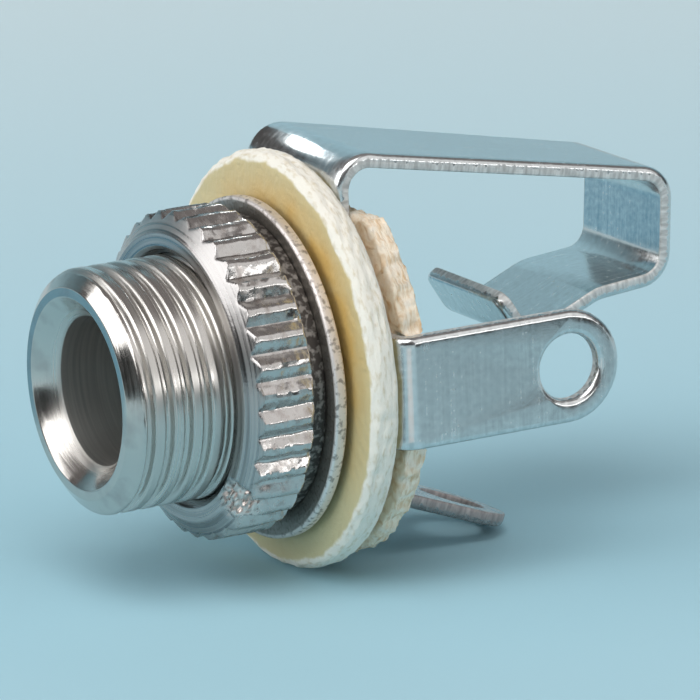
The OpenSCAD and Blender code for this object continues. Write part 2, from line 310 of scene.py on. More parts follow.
def object_mm(tree):
    """The place on the object in millimetres."""
    place = add(tree, "ShaderNodeTexCoord").outputs["Object"]
    return add(tree, "ShaderNodeVectorMath", {0: place, "Scale": 1 / MM}, operation="SCALE")


def around_axis(tree, place):
    """Distance from the bush's axis, length along it and angle about it."""
    parts = add(tree, "ShaderNodeSeparateXYZ", {0: place})
    across = add(tree, "ShaderNodeCombineXYZ", {0: parts.outputs[0], 2: parts.outputs[2]})
    radius = add(tree, "ShaderNodeVectorMath", {0: across}, operation="LENGTH").outputs["Value"]
    return radius, parts.outputs[1], calc(tree, "ARCTAN2", parts.outputs[2], parts.outputs[0])


def turned_marks(tree, place, width):
    """Grey marks of a width in millimetres that a lathe leaves round the axis."""
    usual_r = 3
    length_by_width = 60
    drag = usual_r / length_by_width
    radius, along, turned = around_axis(tree, place)
    spot = {0: calc(tree, "COSINE", turned), 1: along, 2: calc(tree, "SINE", turned)}
    on_lathe = add(tree, "ShaderNodeCombineXYZ", spot)
    swept = add(tree, "ShaderNodeMapping", {"Vector": on_lathe, "Scale": (drag, 1, drag)})
    marks = {"Vector": swept, "W": radius, "Scale": 0.5 / width, "Detail": 3.0}
    return add(tree, "ShaderNodeTexNoise", marks, noise_dimensions="4D")


def specked(tree, place, limits, first, second):
    """One colour with specks of another, about 0.07 mm across."""
    return blend(tree, ramp(tree, cloud(tree, place, 7.0, 4.0), *limits), first, second)


def plated_metal(name, plate, tint, mark_mm, speck_mm, roughness, dent_mm):
    """Plated metal: fine turning marks and small specks that break up a clear reflection."""
    material, tree, shader = new_material(name)
    place = object_mm(tree)
    specks = cloud(tree, place, 0.5 / speck_mm, 4.0)
    mixed = calc(tree, "ADD", turned_marks(tree, place, mark_mm), specks)
    looks = {
        "Metallic": 1,
        "Base Color": blend(tree, ramp(tree, specks, 0.5, 0.8), plate, tint),
        "Roughness": ramp(tree, mixed, 0.75, 1.3, *roughness),
        "Normal": relief(tree, mixed, 0.4, dent_mm),
    }
    feed(tree, shader, looks)
    return material


def change_where(tree, mask, shade, roughness):
    """Gives the places that a mask picks another colour and roughness."""
    shader = tree.nodes["Principled BSDF"]
    plain = shader.inputs["Base Color"].links[0].from_socket
    polished = shader.inputs["Roughness"].links[0].from_socket
    matt = add(tree, "ShaderNodeMix", {0: mask, 2: polished, 3: roughness})
    feed(tree, shader, {"Base Color": blend(tree, mask, plain, shade), "Roughness": matt})


def turned_nickel(settings, bore_r, lead_y):
    """Turned nickel plate: polished at the entry, satin on the thread and dull inside the bore."""
    tint = linear("#b3aeaa")
    material = plated_metal("Polished nickel plate", settings.nickel, tint, 0.03, 0.3, (0.1, 0.24), 0.004)
    tree = material.node_tree
    place = object_mm(tree)
    radius, along = around_axis(tree, place)[:2]
    streaks = turned_marks(tree, place, 0.04)
    satin = ramp(tree, streaks, 0.35, 0.65, 0.2, 0.36)
    behind = ramp(tree, along, lead_y, lead_y + 0.1)
    change_where(tree, behind, settings.nickel, satin)
    scored = blend(tree, ramp(tree, streaks, 0.3, 0.7), linear("#aeaca9"), settings.nickel)
    inside = ramp(tree, radius, bore_r + 0.06, bore_r + 0.02)
    change_where(tree, inside, scored, 0.45)
    return material


def knurled_nickel(settings, collar_y, bevel_y, scar):
    """Knurled nickel plate: bright pressed teeth, satin turned bevel, dull speckled collar in painted
    shade.

    The bruised place on the bevel is bare, crumbled metal."""
    tint = linear("#a39a95")
    material = plated_metal("Knurled nickel plate", settings.plate, tint, 0.04, 0.12, (0.16, 0.34), 0.012)
    tree = material.node_tree
    place = object_mm(tree)
    along = around_axis(tree, place)[1]
    streaks = turned_marks(tree, place, 0.05)
    toned = blend(tree, ramp(tree, streaks, 0.3, 0.7), linear("#8f8c8b"), linear("#c6c4c2"))
    satin = ramp(tree, streaks, 0.35, 0.65, 0.16, 0.4)
    in_front = ramp(tree, along, bevel_y + 0.03, bevel_y - 0.03)
    change_where(tree, in_front, toned, satin)
    from_scar = add(tree, "ShaderNodeVectorMath", {0: place, 1: scar}, operation="DISTANCE")
    faint, full = 0.9 * settings.scar_size, 0.4 * settings.scar_size
    bruised = ramp(tree, from_scar.outputs["Value"], faint, full)
    change_where(tree, bruised, linear("#f0e3dc"), 0.3)
    # Painted shade: dark specks on the collar behind the knurl stand in for the shade in the recess by the
    # washer
    speckled = specked(tree, place, (0.48, 0.62), linear("#55504c"), settings.dull)
    behind = ramp(tree, along, collar_y - 0.02, collar_y + 0.02)
    change_where(tree, behind, speckled, 0.5)
    return material


def washer_steel(settings, rim_r, drop):
    """Plated steel washer, punched: a dull speckled face and a bright sheared rim."""
    tint = linear("#6b6763")
    material = plated_metal("Punched plated steel", settings.dull, tint, 0.06, 0.05, (0.3, 0.6), 0.03)
    tree = material.node_tree
    centred = add(tree, "ShaderNodeMapping", {"Vector": object_mm(tree), "Location": (0, 0, drop)})
    on_rim = ramp(tree, around_axis(tree, centred)[0], rim_r - 0.11, rim_r - 0.07)
    sheared = specked(tree, centred, (0.52, 0.66), settings.rim, linear("#aaa39f"))
    change_where(tree, on_rim, sheared, 0.55)
    return material


def pressed_laminate(settings, rim_r, washer_r):
    """Pressed paper laminate: smooth cream face, a gold tinge and painted shade by the washer, white
    fibrous cut edge.
    """
    material, tree, shader = new_material("Pressed paper laminate")
    place = object_mm(tree)
    radius, _, turned = around_axis(tree, place)
    by_washer = ramp(tree, radius, washer_r + 1.0, washer_r)
    uneven = calc(tree, "MULTIPLY", by_washer, cloud(tree, place, 0.9, 3.0))
    # Darker gold near the washer, mostly above and to its right: painted shade of the gap behind it, on a
    # real tinge
    above = calc(tree, "MULTIPLY", uneven, ramp(tree, turned, -0.7, 0.2))
    fading = ramp(tree, turned, 0.7, 2.9, 1.9, 0.0)
    stained_and_shaded = calc(tree, "MULTIPLY", above, fading, use_clamp=True)
    face = blend(tree, stained_and_shaded, settings.face, settings.stain_and_shade)
    # Fibres about 0.04 mm thick and 0.12 mm long, lying round the rim
    fibres = drawn_out(tree, place, (4, 12, 4), 6.0)
    cut = blend(tree, ramp(tree, fibres, 0.5, 0.75), settings.edge, linear("#d3c8b0"))
    wavy = ramp(tree, cloud(tree, place, 1.6, 4.0), 0.3, 0.7, -0.07, 0.07)
    on_rim = ramp(tree, calc(tree, "ADD", radius, wavy), rim_r - 0.27, rim_r - 0.2)
    looks = {
        "Base Color": blend(tree, on_rim, face, cut),
        "Roughness": ramp(tree, on_rim, 0, 1, 0.42, 0.85),
        "Normal": relief(tree, fibres, 0.6, 0.07),
        "Specular IOR Level": 0.35,
    }
    feed(tree, shader, looks)
    return material


def torn_laminate(settings):
    """Torn paper laminate: tan layers with brown fibres that run along its edge."""
    material, tree, shader = new_material("Torn paper laminate")
    place = object_mm(tree)
    # Fibres about 0.04 mm thick and 0.14 mm long, lying round the edge
    fibres = drawn_out(tree, place, (3.5, 12, 3.5), 7.0)
    fibres.inputs["Distortion"].default_value = 0.6
    fibrous = blend(tree, ramp(tree, fibres, 0.42, 0.78), settings.tan, settings.brown)
    pale = ramp(tree, cloud(tree, place, 3.4, 2.0), 0.52, 0.68, 0.0, 0.7)
    looks = {
        "Base Color": blend(tree, pale, fibrous, linear("#f7efe2")),
        "Roughness": 0.85,
        "Normal": relief(tree, fibres, 0.8, 0.08),
        "Specular IOR Level": 0.25,
    }
    feed(tree, shader, looks)
    return material


def tinned_sheet(name, plate, cut, shine):
    """Tinned rolled sheet: satin, with fine lines along the rolling direction.

    Its punched edges are smooth where the punch went in and break rough and pale on the far side."""
    material, tree, shader = new_material(name)
    blank = add(tree, "ShaderNodeAttribute", attribute_name="blank").outputs["Vector"]
    wall = add(tree, "ShaderNodeAttribute", attribute_name="wall").outputs["Fac"]
    # Rolling lines about 0.04 mm wide and nearly fifty times as long, along the spring's length
    lines = drawn_out(tree, blank, (14, 0.3, 14), 3.0)
    mixed = calc(tree, "ADD", lines, cloud(tree, blank, 7.0, 3.0))
    dark = [0.74 * value for value in plate]
    face = blend(tree, ramp(tree, mixed, 0.7, 1.3), dark, plate)
    # Shear streaks about 0.06 mm wide that run across the sheet's thickness
    ragged = drawn_out(tree, blank, (9, 9, 2), 4.0)
    depth = add(tree, "ShaderNodeSeparateXYZ", {0: blank}).outputs[2]
    level = calc(tree, "ADD", depth, ramp(tree, ragged, 0.3, 0.7, -0.06, 0.06))
    fracture = calc(tree, "MULTIPLY", ramp(tree, level, 0.04, -0.01), wall)
    grey = [0.6 * value for value in cut]
    broken = blend(tree, ramp(tree, ragged, 0.35, 0.65), grey, cut)
    satin = ramp(tree, mixed, 0.7, 1.3, *shine)
    height = calc(tree, "ADD", mixed, ragged)
    looks = {
        "Base Color": blend(tree, fracture, face, broken),
        "Metallic": ramp(tree, fracture, 0, 1, 1.0, 0.4),
        "Roughness": add(tree, "ShaderNodeMix", {0: fracture, 2: satin, 3: 0.5}),
        "Normal": relief(tree, height, ramp(tree, fracture, 0, 1, 0.12, 0.9), 0.012),
    }
    feed(tree, shader, looks)
    return material


def new_card(name, hex_colour):
    """Plain matt card."""
    material, tree, shader = new_material(name)
    feed(tree, shader, {"Base Color": (*linear(hex_colour), 1), "Roughness": 0.8})
    return material


def rounded_loop(corners, steps=5):
    """A closed outline through corners given as x, y and the radius of their rounding."""
    points = []
    for i, (x, y, radius) in enumerate(corners):
        corner = Vector((x, y))
        back = (Vector(corners[i - 1][:2]) - corner).normalized()
        ahead = (Vector(corners[(i + 1) % len(corners)][:2]) - corner).normalized()
        half = back.angle(ahead) / 2
        nearly_straight = half > 0.49 * math.pi
        if radius == 0 or nearly_straight:
            points.append(corner)
            continue
        centre = corner + (back + ahead).normalized() * (radius / math.sin(half))
        start = corner + back * (radius / math.tan(half)) - centre
        sweep = (math.pi - 2 * half) * (1 if back.cross(ahead) < 0 else -1)
        points += [centre + Matrix.Rotation(sweep * k / steps, 2) @ start for k in range(steps + 1)]
    return points


def refined(points, spacing, closed=True):
    """The same outline with extra points, so that no step is longer than spacing."""
    result = []
    for i in range(len(points) if closed else len(points) - 1):
        start = points[i]
        end = points[(i + 1) % len(points)]
        count = max(1, math.ceil((end - start).length / spacing))
        result += [start.lerp(end, k / count) for k in range(count)]
    return result if closed else result + [points[-1]]


def lathe(section, steps):
    """A closed half section of radius and place along the axis, turned about the axis."""
    bm = bmesh.new()
    rings = []
    for j in range(steps):
        turned = TURN * j / steps
        across = Vector((math.cos(turned), 0, math.sin(turned)))
        rings.append([bm.verts.new(across * p.x + Vector((0, p.y, 0))) for p in section])
    for j in range(steps):
        here = rings[j]
        there = rings[(j + 1) % steps]
        for i in range(len(section)):
            after = (i + 1) % len(section)
            bm.faces.new((here[i], here[after], there[after], there[i]))
    bmesh.ops.recalc_face_normals(bm, faces=bm.faces)
    return bm


def inset_loop(points, amount):
    """A closed outline moved to its left by an amount."""
    moved = []
    for i, point in enumerate(points):
        before = (point - points[i - 1]).normalized()
        after = (points[(i + 1) % len(points)] - point).normalized()
        left = Vector((-before.y - after.y, before.x + after.x)).normalized()
        reach = amount / max(0.4, left.dot(Vector((-before.y, before.x))))
        moved.append(point + left * reach)
    return moved


def sheet_blank(loops, thickness, upper_round, lower_round, steps=3):
    """A flat sheet with rounded edges. The outer loop runs anticlockwise and holes run clockwise.

    The place on the blank is kept as an attribute, and another marks the sheared wall."""
    bm = bmesh.new()
    blank = bm.verts.layers.float_vector.new("blank")
    wall = bm.verts.layers.float.new("wall")
    half = thickness / 2
    quarter = [k / steps * math.pi / 2 for k in range(steps + 1)]
    upper = [(upper_round * (1 - math.sin(q)), half - upper_round * (1 - math.cos(q))) for q in quarter]
    lower = [(lower_round * (1 - math.sin(q)), lower_round * (1 - math.cos(q)) - half) for q in quarter]
    rows = upper + lower[::-1]
    rims = ([], [])
    for loop in loops:
        rings = []
        for inset, height in rows:
            ring = [bm.verts.new((p.x, p.y, height)) for p in inset_loop(loop, inset)]
            for vert in ring:
                vert[wall] = 1 if inset < 0.2 * upper_round else 0
            rings.append(ring)
        for here, there in zip(rings, rings[1:]):
            for i in range(len(here)):
                bm.faces.new((here[i - 1], there[i - 1], there[i], here[i]))
        for rim, ring in zip(rims, (rings[0], rings[-1])):
            rim += [bm.edges.get((ring[i - 1], ring[i])) for i in range(len(ring))]
    for rim in rims:
        bmesh.ops.triangle_fill(bm, edges=rim, use_beauty=True)
    for vert in bm.verts:
        vert[blank] = vert.co
    return bm


def cut_rows(bm, axis, places):
    """Cuts the sheet across at places along an axis, so that it can bend there."""
    blank = bm.verts.layers.float_vector["blank"]
    for place in places:
        parts = bm.verts[:] + bm.edges[:] + bm.faces[:]
        bmesh.ops.bisect_plane(bm, geom=parts, dist=1e-4, plane_co=axis * place, plane_no=axis)
    for vert in bm.verts:
        vert[blank] = vert.co


def bend_rows(folds, start, step=math.radians(9)):
    """Places along a folded sheet where its bends are divided."""
    rows = []
    margin = 0.1
    for straight, turn, radius in folds:
        start += straight
        arc = radius * abs(turn)
        count = math.ceil(abs(turn) / step)
        if count:
            rows += [start - margin] + [start + arc * k / count for k in range(count + 1)]
            rows.append(start + arc + margin)
        start += arc
    return rows


def unit(turned):
    """A step of length one in a direction in the plane."""
    return Vector((math.cos(turned), math.sin(turned)))


def folded(folds, start, heading, along, height):
    """Place on a folded sheet, at a length along its middle line and a height above that.

    A fold is a straight length and then a bend, given by its turn to the right and its middle radius."""
    quarter = math.pi / 2
    place = Vector(start)
    for straight, turn, radius in folds:
        step = min(along, straight)
        place += step * unit(heading)
        along -= step
        arc = radius * abs(turn)
        if along <= 0 or arc == 0:
            continue
        side = math.copysign(radius, turn)
        part = min(along, arc) / arc
        centre = place - side * unit(heading + quarter)
        heading -= part * turn
        place = centre + side * unit(heading + quarter)
        along -= part * arc
    return place + height * unit(heading + quarter)


def arc_points(centre, radius, first, last, steps):
    """Points on a circle from one angle to another."""
    sweep = [first + (last - first) * k / steps for k in range(steps + 1)]
    return [Vector(centre) + radius * unit(a) for a in sweep]


def spaced_arc(radius, first, last, spacing):
    """Points on a circle about the origin, no further apart than spacing."""
    steps = max(2, math.ceil(abs(last - first) * radius / spacing))
    return arc_points((0, 0), radius, first, last, steps)


def hole_points(centre, radius, steps):
    """A round hole, clockwise."""
    return arc_points(centre, radius, 0, -TURN, steps)[:-1]


def tag_end(reach, half_width):
    """The round end of a tag along +X, from its lower to its upper corner."""
    return arc_points((reach, 0), half_width, -math.pi / 2, math.pi / 2, steps=18)


def ragged(coarse, fine, share):
    """Depth of a rough surface: noise at one place and a share of the noise at another."""
    return abs(noise.noise(coarse)) + share * abs(noise.noise(fine))


def make_piece(name, bm, material, sharp=35):
    """Turns a bmesh in millimetres into an object in metres, smooth but for its sharp edges."""
    bmesh.ops.scale(bm, vec=(MM, MM, MM), verts=bm.verts)
    mesh = bpy.data.meshes.new(name)
    bm.to_mesh(mesh)
    bm.free()
    mesh.materials.append(material)
    mesh.shade_smooth()
    mesh.set_sharp_from_angle(angle=math.radians(sharp))
    piece = bpy.data.objects.new(name, mesh)
    bpy.context.scene.collection.objects.link(piece)
    return piece


def apply_modifiers(piece):
    """Turns what the modifiers make into the piece's own plain mesh."""
    depsgraph = bpy.context.evaluated_depsgraph_get()
    mesh = bpy.data.meshes.new_from_object(piece.evaluated_get(depsgraph))
    piece.modifiers.clear()
    bare = piece.data
    piece.data = mesh
    bpy.data.meshes.remove(bare)
    mesh.name = piece.name


def even_shading(piece):
    """Keeps flat faces flat beside their rounded edges."""
    modifier = piece.modifiers.new("Even shading", "WEIGHTED_NORMAL")
    modifier.keep_sharp = True
    apply_modifiers(piece)


def apply_tree(piece, tree, values, sharp=35):
    """Runs a geometry tree on a piece with values for its named inputs."""
    modifier = piece.modifiers.new(tree.name, "NODES")
    modifier.node_group = tree
    for item in tree.interface.items_tree:
        if item.in_out == "INPUT" and item.name != "Geometry":
            modifier[item.identifier] = values[item.name]
    apply_modifiers(piece)
    piece.data.shade_smooth()
    piece.data.set_sharp_from_angle(angle=math.radians(sharp))


def hand_over(piece, body, node):
    """Puts a piece in the place of a CAD node."""
    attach(piece, body)
    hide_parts(node)


def new_tree(name, numbers):
    """A geometry tree with number inputs and a material, and the outputs of its input node."""
    tree = bpy.data.node_groups.new(name, "GeometryNodeTree")
    tree.interface.new_socket("Geometry", in_out="INPUT", socket_type="NodeSocketGeometry")
    for number in numbers:
        tree.interface.new_socket(number, in_out="INPUT", socket_type="NodeSocketFloat")
    tree.interface.new_socket("Material", in_out="INPUT", socket_type="NodeSocketMaterial")
    tree.interface.new_socket("Geometry", in_out="OUTPUT", socket_type="NodeSocketGeometry")
    return tree, add(tree, "NodeGroupInput").outputs


def pull_in(tree, inputs, place, radius, limit, chosen):
    """Ends a geometry tree: moves chosen points in to a limit from the axis and gives the material."""
    ratio = calc(tree, "DIVIDE", calc(tree, "MINIMUM", radius, limit), radius)
    factor = add(tree, "ShaderNodeCombineXYZ", {0: ratio, 1: 1.0, 2: ratio})
    moved = add(tree, "ShaderNodeVectorMath", {0: place, 1: factor}, operation="MULTIPLY")
    settings = {"Geometry": inputs["Geometry"], "Selection": chosen, "Position": moved}
    shape = add(tree, "GeometryNodeSetPosition", settings)
    merged = add(tree, "GeometryNodeMergeByDistance", {"Geometry": shape, "Distance": 0.001 * MM})
    real = add(tree, "GeometryNodeRealizeInstances", {0: merged})
    dressed = add(tree, "GeometryNodeSetMaterial", {"Geometry": real, "Material": inputs["Material"]})
    add(tree, "NodeGroupOutput", {0: dressed})
    return tree


def thread_tree():
    """Cuts a right-handed thread into the outside of a turned piece."""
    numbers = ("Pitch", "Depth", "Crest radius", "Core radius", "Rear end", "Crest share", "Root share")
    tree, inputs = new_tree("Cut thread", numbers)
    place = add(tree, "GeometryNodeInputPosition")
    radius, along, turned = around_axis(tree, place)
    steps = calc(tree, "DIVIDE", along, inputs["Pitch"])
    turns = calc(tree, "DIVIDE", turned, TURN)
    wave = calc(tree, "PINGPONG", calc(tree, "ADD", steps, turns), 0.5)
    crest, root = inputs["Crest share"], inputs["Root share"]
    flank = ramp(tree, wave, crest, root, interpolation_type="SMOOTHSTEP")
    cut = calc(tree, "MULTIPLY", flank, inputs["Depth"])
    limit = calc(tree, "SUBTRACT", inputs["Crest radius"], cut)
    outside = calc(tree, "GREATER_THAN", radius, inputs["Core radius"])
    in_front = calc(tree, "LESS_THAN", along, inputs["Rear end"])
    return pull_in(tree, inputs, place, radius, limit, calc(tree, "MULTIPLY", outside, in_front))


def knurl_tree():
    """Presses a straight knurl into the outside of a turned piece, with teeth that differ a little."""
    numbers = ("Teeth", "Turn", "Depth", "Crest radius", "Crest share", "Rear end", "Uneven", "Wear")
    tree, inputs = new_tree("Press knurl", numbers)
    place = add(tree, "GeometryNodeInputPosition")
    radius, along, turned = around_axis(tree, place)
    turns = calc(tree, "DIVIDE", calc(tree, "SUBTRACT", turned, inputs["Turn"]), TURN)
    phase = calc(tree, "MULTIPLY", turns, inputs["Teeth"])
    flank = ramp(tree, calc(tree, "PINGPONG", phase, 0.5), inputs["Crest share"], 0.5)
    groove = calc(tree, "FLOORED_MODULO", calc(tree, "FLOOR", phase), inputs["Teeth"])
    chance = add(tree, "ShaderNodeTexWhiteNoise", {"W": groove}, noise_dimensions="1D").outputs["Value"]
    share = calc(tree, "SUBTRACT", 1.0, calc(tree, "MULTIPLY", chance, inputs["Uneven"]))
    cut = calc(tree, "MULTIPLY", flank, calc(tree, "MULTIPLY", inputs["Depth"], share))
    # Worn places about 0.3 mm across
    worn = ramp(tree, cloud(tree, place, 1.7 / MM, 3.0), 0.45, 0.75, 0.0, inputs["Wear"])
    limit = calc(tree, "SUBTRACT", inputs["Crest radius"], calc(tree, "ADD", cut, worn))
    chosen = calc(tree, "LESS_THAN", along, inputs["Rear end"])
    return pull_in(tree, inputs, place, radius, limit, chosen)


class JACK_OT_bush(bpy.types.Operator):
    """Turns the bush and cuts its thread."""

    bl_idname = "jack.bush"
    bl_label = "Bush"

    def execute(self, context):
        size = in_mm(context.scene.jack.bush)
        low, high = box_mm("bush")
        bore_r = MOUNT_RADII["plug_bore"]
        thread_r = MOUNT_RADII["panel_clamp"]
        stack_end = high.y - size.lip_len
        core_r = thread_r - size.lead_in_r
        entry_round, funnel_round = 0.05, 0.08
        corners = [
            (bore_r, low.y + size.entry_depth, entry_round),
            (bore_r + size.entry_depth, low.y, size.rim_round),
            (core_r, low.y, size.rim_round),
            (thread_r, low.y + size.lead_in_len, size.lead_round),
            (thread_r, 0, 0),
            (size.spigot_r, 0, 0),
            (size.spigot_r, stack_end, 0),
            (size.lip_r, stack_end, 0),
            (size.lip_r, high.y, size.lip_round),
            (bore_r + size.funnel_depth, high.y, funnel_round),
            (bore_r, high.y - size.funnel_depth, funnel_round),
        ]
        outline = rounded_loop(corners)
        rows_per_pitch = 20
        fine, coarse = size.pitch / rows_per_pitch, 0.15
        section = []
        for start, end in zip(outline, outline[1:] + outline[:1]):
            on_thread = min(start.x, end.x) > core_r and max(start.y, end.y) <= 0
            section += refined([start, end], fine if on_thread else coarse, closed=False)[:-1]
        nickel = turned_nickel(size, bore_r, low.y + size.lead_in_len)
        steps = 192
        piece = make_piece("threaded_bush", lathe(section, steps), nickel)
        shoulder_gap = 0.01
        values = {
            "Pitch": size.pitch * MM,
            "Depth": size.thread_depth * MM,
            "Crest radius": thread_r * MM,
            "Core radius": core_r * MM,
            "Rear end": -shoulder_gap * MM,
            "Crest share": 0.2,
            "Root share": 0.41,
            "Material": nickel,
        }
        apply_tree(piece, thread_tree(), values, sharp=50)
        hand_over(piece, "jack", "bush")
        return {"FINISHED"}


class JACK_OT_nut(bpy.types.Operator):
    """Turns the nut, presses its knurl and bruises its bevel; turns the washer."""

    bl_idname = "jack.nut"
    bl_label = "Nut and washer"

    def execute(self, context):
        size = in_mm(context.scene.jack.nut)
        self.nut(size)
        self.washer(size)
        return {"FINISHED"}

    def nut(self, size):
        """The knurled nut."""
        low, high = box_mm("knurled_nut")
        sunk_r = size.bore_r + size.countersink
        knurl_rear = high.y - size.collar_len
        bevel_len = size.bevel_r * math.tan(size.bevel_angle)
        burr, edge, rear_edge, worn_edge = 0.03, 0.04, 0.05, 0.08
        corners = [
            (sunk_r, low.y, burr),
            (size.crest_r - size.bevel_r, low.y, worn_edge),
            (size.crest_r, low.y + bevel_len, edge),
            (size.crest_r, knurl_rear, size.tooth_round),
            (size.collar_r, knurl_rear, edge),
            (size.collar_r, high.y, rear_edge),
            (sunk_r, high.y, burr),
            (size.bore_r, high.y - size.countersink, burr),
            (size.bore_r, low.y + size.countersink, burr),
        ]
        spacing, steps_per_tooth = 0.05, 14
        section = refined(rounded_loop(corners), spacing)
        turned = size.scar_turn
        scar = Vector((math.cos(turned), 0, math.sin(turned))) * (size.crest_r - size.bevel_r / 2)
        scar.y = low.y + bevel_len / 2
        plate = knurled_nickel(size, knurl_rear, low.y + bevel_len, scar)
        piece = make_piece("clamping_nut", lathe(section, size.teeth * steps_per_tooth), plate)
        pitch_mm = TURN * size.crest_r / size.teeth
        values = {
            "Teeth": size.teeth,
            "Turn": size.knurl_turn,
            "Depth": size.knurl_depth * MM,
            "Crest radius": size.crest_r * MM,
            "Crest share": size.crest_flat / 2 / pitch_mm,
            "Rear end": (knurl_rear + 0.001) * MM,
            "Uneven": 0.25,
            "Wear": size.tooth_wear * MM,
            "Material": plate,
        }
        apply_tree(piece, knurl_tree(), values)
        self.bruise(piece, scar, size.scar_size)
        hand_over(piece, "nut", "knurled_nut")

    def bruise(self, piece, scar, reach):
        """Roughens the bruised place on the front bevel."""
        lumps_per_mm, crumbs_per_mm, crumb_share = 4, 9, 1.2
        inward, backward = 0.34, 0.46
        for vert in piece.data.vertices:
            place = vert.co / MM
            near = 1 - (place - scar).length / reach
            if near > 0:
                depth = near * ragged(place * lumps_per_mm, place * crumbs_per_mm, crumb_share)
                place -= Vector((place.x, 0, place.z)).normalized() * (inward * depth)
                place.y += backward * depth
                vert.co = place * MM

    def washer(self, size):
        """The flat washer."""
        low, high = box_mm("flat_washer")
        rim_r = (high.x - low.x) / 2
        hang = (low.z + high.z) / 2
        burr, edge, front_edge = 0.03, 0.05, 0.07
        corners = [
            (size.washer_hole_r, low.y, edge),
            (rim_r, low.y, front_edge),
            (rim_r, high.y, edge),
            (size.washer_hole_r, high.y, burr),
        ]
        spacing, steps = 0.2, 160
        bm = lathe(refined(rounded_loop(corners), spacing), steps)
        bmesh.ops.translate(bm, vec=(0, 0, hang), verts=bm.verts)
        piece = make_piece("punched_washer", bm, washer_steel(size, rim_r, -hang))
        even_shading(piece)
        hand_over(piece, "washer", "flat_washer")


class JACK_OT_insulators(bpy.types.Operator):
    """Makes the front insulator, the centring ring and the torn rear insulator."""

    bl_idname = "jack.insulators"
    bl_label = "Insulators"

    def execute(self, context):
        size = in_mm(context.scene.jack.disc)
        washer_r = box_mm("flat_washer")[1].x
        front_r = box_mm("front_insulator")[1].x
        torn = torn_laminate(size)
        pressed = pressed_laminate(size, front_r, washer_r)
        self.ring("front_insulator", size.hole_r, size.rim_round, pressed, "front_laminate")
        self.ring("centring_ring", size.hole_r, 0.02, torn, "rear_laminate")
        self.rear(size, torn)
        return {"FINISHED"}

    def ring(self, node, hole_r, corner, material, slot):
        """A punched ring with a fibrous rim."""
        low, high = box_mm(node)
        rim_r = high.x
        burr = 0.03
        corners = [
            (hole_r, low.y, burr),
            (rim_r, low.y, corner),
            (rim_r, high.y, corner),
            (hole_r, high.y, burr),
        ]
        spacing, steps = 0.06, 320
        bm = lathe(refined(rounded_loop(corners), spacing), steps)
        around_scale, layer_scale, fluff_scale = 1.3, 7, 3.1
        fluff_share, tear = 0.5, 0.35
        for vert in bm.verts:
            flat = Vector((vert.co.x, 0, vert.co.z))
            near_rim = max(0, 1 - (rim_r - flat.length) / (2 * corner))
            layers = Vector((flat.x * around_scale, vert.co.y * layer_scale, flat.z * around_scale))
            depth = tear * corner * near_rim * ragged(layers, flat * fluff_scale, fluff_share)
            vert.co -= flat.normalized() * depth
        piece = make_piece("punched_" + node, bm, material, sharp=60)
        even_shading(piece)
        hand_over(piece, "jack", node)

    def rear(self, size, material):
        """The rear insulator, with its flat, the tag's slot and torn edges."""
        low, high = box_mm("rear_insulator")
        disc_r = -low.x
        spacing = 0.07
        to_flat = math.asin(size.flat_z / disc_r)
        to_slot = math.asin(size.slot_half / disc_r)
        outline = spaced_arc(disc_r, to_slot, to_flat, spacing)
        outline += spaced_arc(disc_r, math.pi - to_flat, TURN - to_slot, spacing)
        outline += [Vector((size.slot_x, -size.slot_half)), Vector((size.slot_x, size.slot_half))]
        outline = refined(outline, spacing)
        hole = hole_points((0, 0), size.hole_r, steps=160)
        edge, torn_band = 0.12, 0.3
        bm = sheet_blank([outline, hole], high.y - low.y, edge, edge, steps=4)
        around_scale, layer_scale = 1.6, 6
        fluff_finer, fluff_share = 2.7, 0.6
        for vert in bm.verts:
            u, v, height = vert.co
            flat = Vector((u, v, 0))
            eaten = max(0, flat.length - size.slot_x) / (disc_r - size.slot_x)
            if v > size.flat_z - torn_band:
                eaten = 1
            layers = Vector((u * around_scale, v * around_scale, height * layer_scale))
            depth = size.fray * eaten * ragged(layers, layers * fluff_finer, fluff_share)
            flat -= flat.normalized() * depth
            vert.co = Vector((flat.x, (low.y + high.y) / 2 - height, flat.y))
        bmesh.ops.recalc_face_normals(bm, faces=bm.faces)
        piece = make_piece("torn_rear_insulator", bm, material, sharp=70)
        hand_over(piece, "jack", "rear_insulator")


